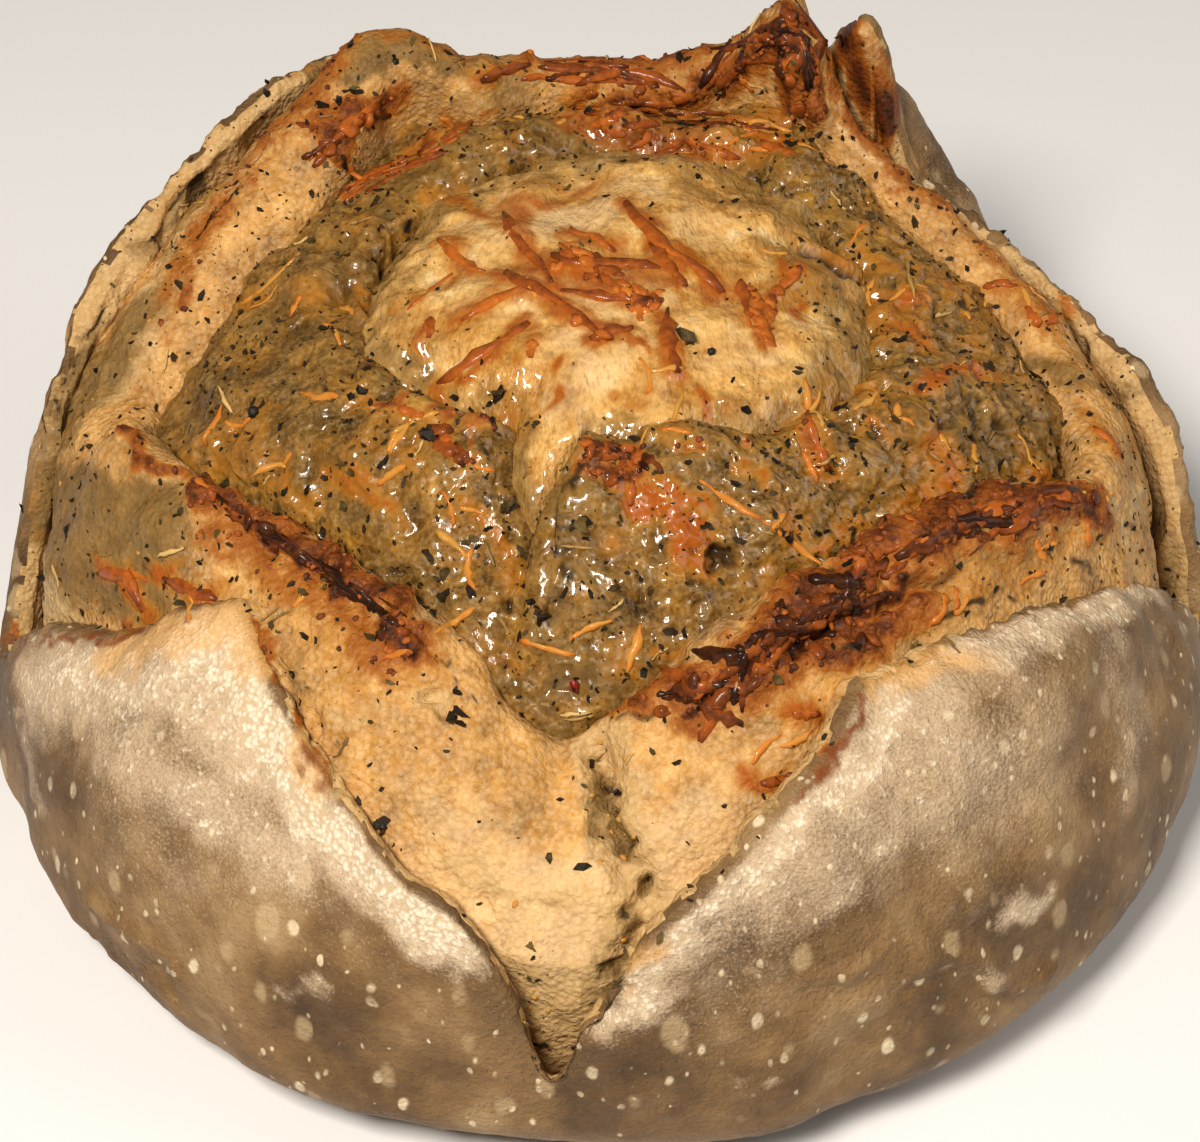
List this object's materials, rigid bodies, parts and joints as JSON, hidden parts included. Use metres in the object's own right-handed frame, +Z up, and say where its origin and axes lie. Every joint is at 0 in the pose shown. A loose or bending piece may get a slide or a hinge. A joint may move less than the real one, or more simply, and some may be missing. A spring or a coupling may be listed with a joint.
{
  "type": "herb and cheese loaf",
  "caption": "Round crusty sourdough loaf, scored crosswise and opened into layered petals round a cheesy dome, with herbs and browned shreds of cheese baked in.",
  "frame": {"origin": "middle of the flat underside, on the surface the loaf stands on", "axes": "+Z up, -Y towards the side where the front slash ends, +X to that side's right"},
  "size_m": [0.2206, 0.2078, 0.114],
  "materials": {
    "crust": "baked, matt, dusted with flour"
  },
  "bodies": {
    "root": {"loaf": "crust"}
  },
  "joints": []
}
